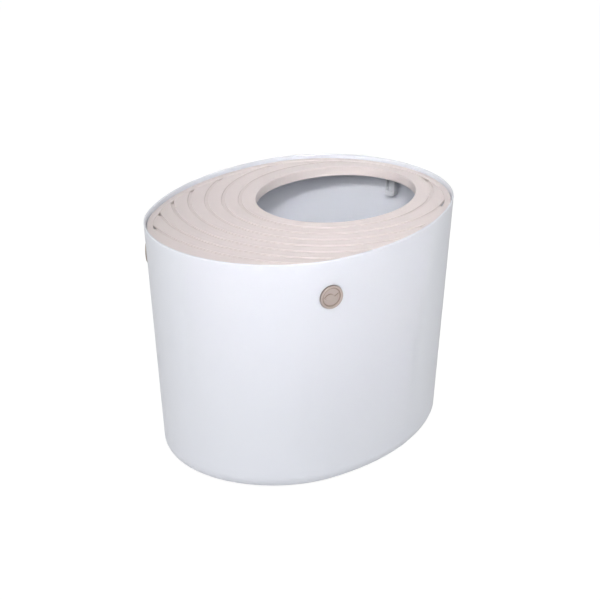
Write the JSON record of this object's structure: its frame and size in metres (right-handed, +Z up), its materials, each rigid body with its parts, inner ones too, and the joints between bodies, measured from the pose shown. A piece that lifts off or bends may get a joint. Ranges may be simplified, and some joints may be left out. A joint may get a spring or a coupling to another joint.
{
  "type": "top-entry cat litter box",
  "caption": "Deep oval cat litter pan with a drop-in grooved lid that has an oval entry hole, snap-in badges, an inner scoop hook and rubber feet.",
  "frame": {"origin": "on the floor, under the middle of the pan", "axes": "+Z up, +X along the length towards the end with the entry hole, +Y across"},
  "size_m": [0.53, 0.412, 0.37],
  "materials": {
    "white_plastic": "fine satin",
    "beige_plastic": "fine satin",
    "foot_rubber": "matt"
  },
  "bodies": {
    "pan": {"litter_pan": "white_plastic", "badge_right": "beige_plastic", "badge_left": "beige_plastic", "scoop_hook": "white_plastic", "foot_front_right": "foot_rubber", "foot_front_left": "foot_rubber", "foot_rear_right": "foot_rubber", "foot_rear_left": "foot_rubber"},
    "lid": {"lid": "beige_plastic"}
  },
  "joints": [
    {"name": "lid_lift", "type": "slide", "parent": "pan", "child": "lid", "axis": [0, 0, 1], "range_m": [0, 0.15]}
  ]
}
